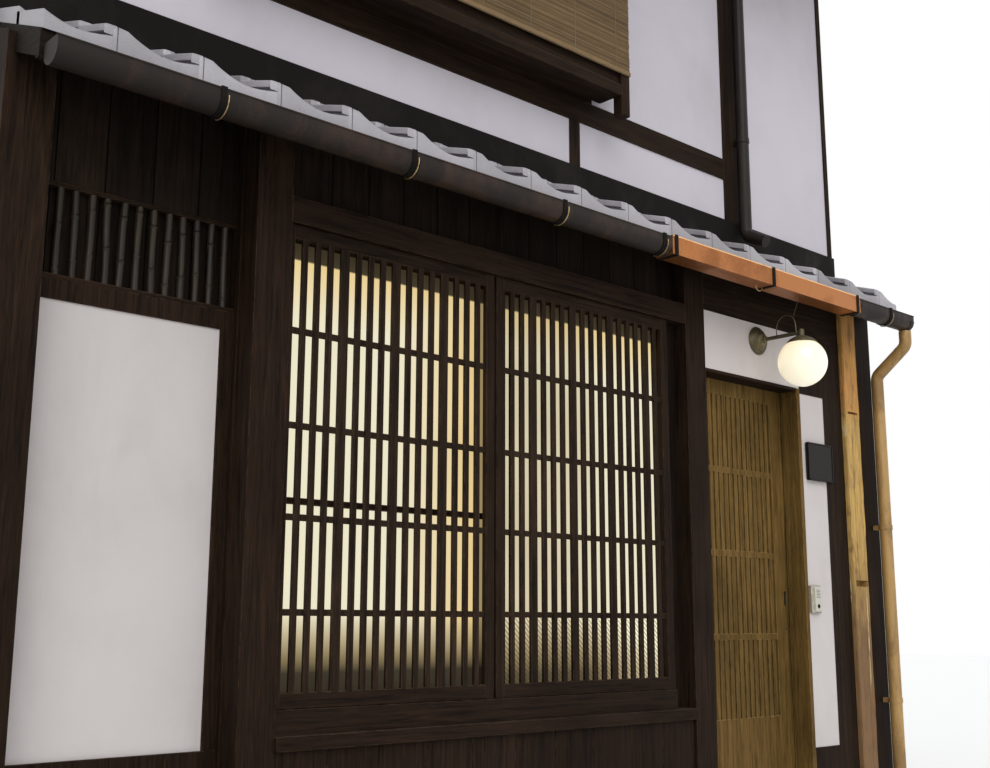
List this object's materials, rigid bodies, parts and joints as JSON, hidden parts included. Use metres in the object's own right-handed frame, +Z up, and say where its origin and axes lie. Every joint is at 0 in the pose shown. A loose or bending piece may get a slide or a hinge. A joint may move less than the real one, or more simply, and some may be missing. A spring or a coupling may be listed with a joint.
{
  "type": "machiya townhouse",
  "caption": "Narrow two-storey timber townhouse with a lattice window bay, sliding entrance door, tiled pent roof, upper window box with reed blind, and gutters.",
  "frame": {"origin": "on the ground, at the centre of the plan with its eaves", "axes": "+X runs along the street front to the right as seen from the street, +Y runs from the street into the house, +Z is up"},
  "size_m": [4.42, 7.7406, 6.6488],
  "materials": {
    "stone": "rough dressed stone and mortar",
    "floor_boards": "planed boards",
    "party_plaster": "plain earth plaster",
    "dark_wood": "stained dark brown, matt",
    "dark_boards": "smoked boards, matt",
    "lattice_wood": "stained dark brown, satin",
    "door_wood": "stained brown, satin",
    "weathered_wood": "bare, orange and grey, cracked",
    "plate_wood": "black lacquered wood, bare of writing",
    "bamboo": "smoked canes",
    "reed": "split reed",
    "white_plaster": "trowelled lime plaster",
    "roof_tile": "smoked clay tile, silvery",
    "frosted_glass": "frosted, lit from within",
    "clear_glass": "clear",
    "lamp_glass": "opal, lit",
    "dark_metal": "dark brown, satin",
    "brass_parts": "worn",
    "station_metal": "brushed, bare of marks",
    "old_copper": "brown patina",
    "new_copper": "bright copper sheet",
    "brown_pipe": "satin brown",
    "black_pipe": "satin black"
  },
  "bodies": {
    "house": {"ground_slab": "stone", "upper_floor": "floor_boards", "left_party_wall": "party_plaster", "right_party_wall": "party_plaster", "end_posts": "dark_wood", "front_posts": "dark_wood", "front_beams": "dark_wood", "front_boards": "dark_boards", "front_plaster": "white_plaster", "left_panel_frame": "dark_wood", "side_panel_frame": "dark_wood", "bamboo_transom": "bamboo", "lattice_left": "lattice_wood", "lattice_right": "lattice_wood", "window_sill": "dark_wood", "window_sashes": "dark_wood", "window_glass": "frosted_glass", "door_rails": "dark_wood", "door_head_track": "dark_wood", "door_jamb": "dark_wood", "lamp_bracket": "dark_metal", "lamp_globe": "lamp_glass", "name_plate": "plate_wood", "door_station": "station_metal", "weathered_post": "weathered_wood", "pent_roof_deck": "dark_boards", "pent_roof_tiles": "roof_tile", "roof_flashing": "dark_metal", "old_gutter": "old_copper", "new_gutter": "new_copper", "gutter_hangers": "dark_metal", "upper_gutters": "old_copper", "lower_downpipe": "brown_pipe", "upper_downpipe": "black_pipe", "floor_beams": "dark_wood", "upper_beams": "dark_wood", "upper_posts": "dark_wood", "upper_panels": "white_plaster", "upper_sashes": "dark_wood", "upper_glass": "clear_glass", "window_box": "dark_wood", "reed_blind": "reed", "back_posts": "dark_wood", "back_panels": "white_plaster", "back_sashes": "dark_wood", "roof_deck_front": "dark_boards", "roof_deck_back": "dark_boards", "roof_tiles_front": "roof_tile", "roof_tiles_back": "roof_tile", "ridge_tiles": "roof_tile"},
    "door": {"entrance_door": "door_wood", "door_pane": "frosted_glass", "door_pull": "dark_metal", "door_wheels": "brass_parts"}
  },
  "joints": [
    {"name": "door_slide", "type": "slide", "parent": "house", "child": "door", "axis": [-1, 0, 0], "range_m": [0, 0.66]}
  ]
}
